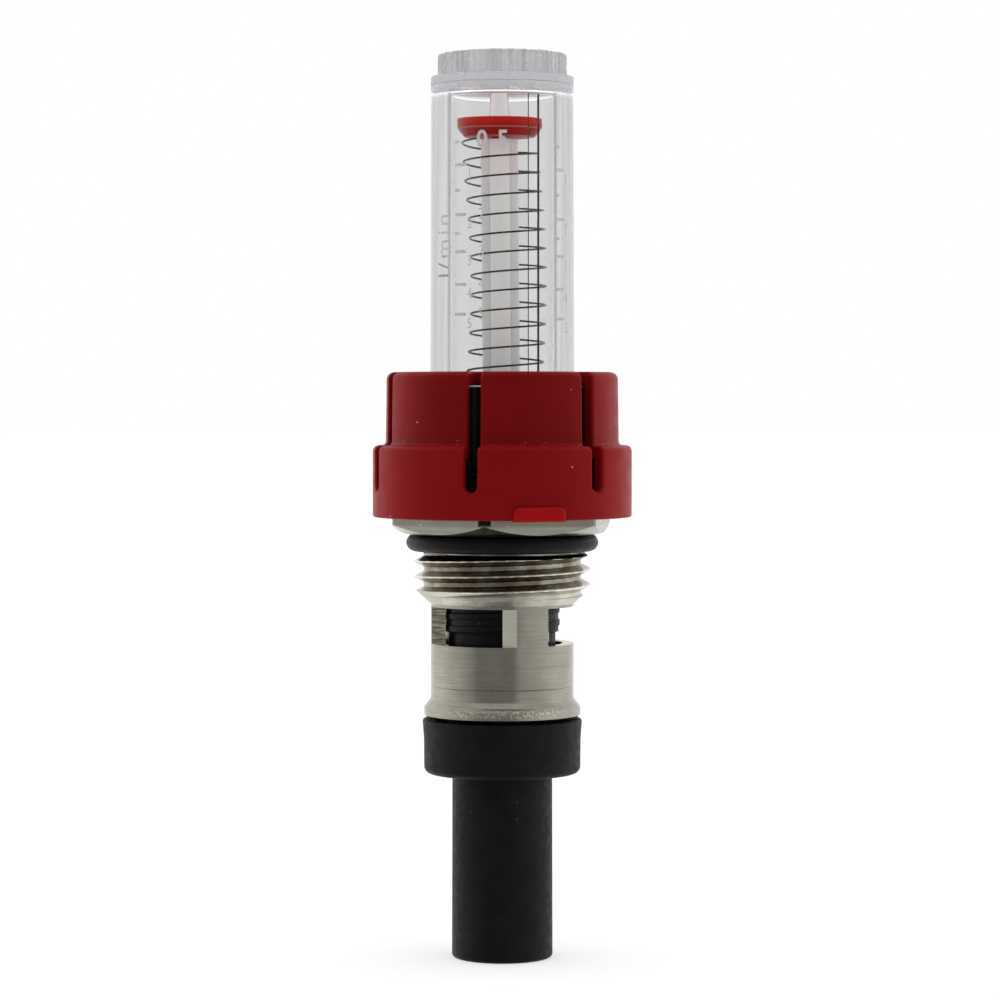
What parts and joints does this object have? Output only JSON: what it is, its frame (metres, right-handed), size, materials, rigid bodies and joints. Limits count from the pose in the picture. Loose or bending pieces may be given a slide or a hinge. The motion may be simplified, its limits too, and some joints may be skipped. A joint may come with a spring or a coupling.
{
  "type": "manifold flow meter valve",
  "caption": "Flow meter valve insert for a heating manifold, with a sprung float in a clear sight glass, a handwheel under a red lock cap, a threaded metal body and a metering tube.",
  "frame": {"origin": "centre of the outlet tube's end face, which is the bottom centre of the whole part", "axes": "+Z along the valve's axis from the outlet tube to the sight glass; -Y is the side that carries the lift tab"},
  "size_m": [0.0306, 0.0316, 0.1067],
  "materials": {
    "nickel_plate": "turned brass with satin nickel plating",
    "spring_steel": "drawn steel wire and stampings",
    "black_rubber": "matt moulded rubber",
    "black_plastic": "matt moulded plastic",
    "clear_plastic": "clear polished plastic",
    "white_plastic": "smooth white plastic",
    "pink_clear_plastic": "translucent plastic",
    "red_disc_plastic": "bright red moulded plastic",
    "red_cap_plastic": "satin red moulded plastic"
  },
  "bodies": {
    "valve": {"valve_body": "nickel_plate", "body_o_ring": "black_rubber", "outlet_tube": "black_plastic", "tube_o_ring": "black_rubber", "stop_ring": "black_plastic", "retaining_ring": "spring_steel"},
    "wheel": {"handwheel": "black_plastic", "sight_glass": "clear_plastic", "glass_gasket": "black_rubber", "scale_sleeve": "clear_plastic", "end_plug": "clear_plastic", "spring_seat": "white_plastic", "indicator_spring": "spring_steel"},
    "spindle": {"spindle": "black_plastic", "spindle_o_ring_upper": "black_rubber", "spindle_o_ring_lower": "black_rubber", "seat_seal": "black_rubber", "seal_clip": "spring_steel"},
    "float": {"indicator_rod": "white_plastic", "indicator_tip": "pink_clear_plastic", "indicator_disc": "red_disc_plastic", "baffle_disc": "white_plastic", "baffle_clip": "spring_steel"},
    "cap": {"lock_cap": "red_cap_plastic"}
  },
  "joints": [
    {"name": "handwheel_turn", "type": "hinge", "parent": "valve", "child": "wheel", "pos_m": [0, 0, 0.06025], "axis": [0, 0, 1], "range_deg": [-900, 0]},
    {"name": "spindle_lift", "type": "slide", "parent": "wheel", "child": "spindle", "axis": [0, 0, 1], "range_m": [-0.00375, 0]},
    {"name": "float_slide", "type": "slide", "parent": "wheel", "child": "float", "axis": [0, 0, 1], "range_m": [-0.022, 0], "stiffness_N_per_m": 8, "springref_m": 0.012, "deforming": ["indicator_spring"]},
    {"name": "cap_lift", "type": "slide", "parent": "valve", "child": "cap", "axis": [0, 0, 1], "range_m": [0, 0.034]}
  ],
  "couplings": [
    {"joint": "handwheel_turn", "follows": "spindle_lift", "rad_per_m": 4188.8}
  ]
}
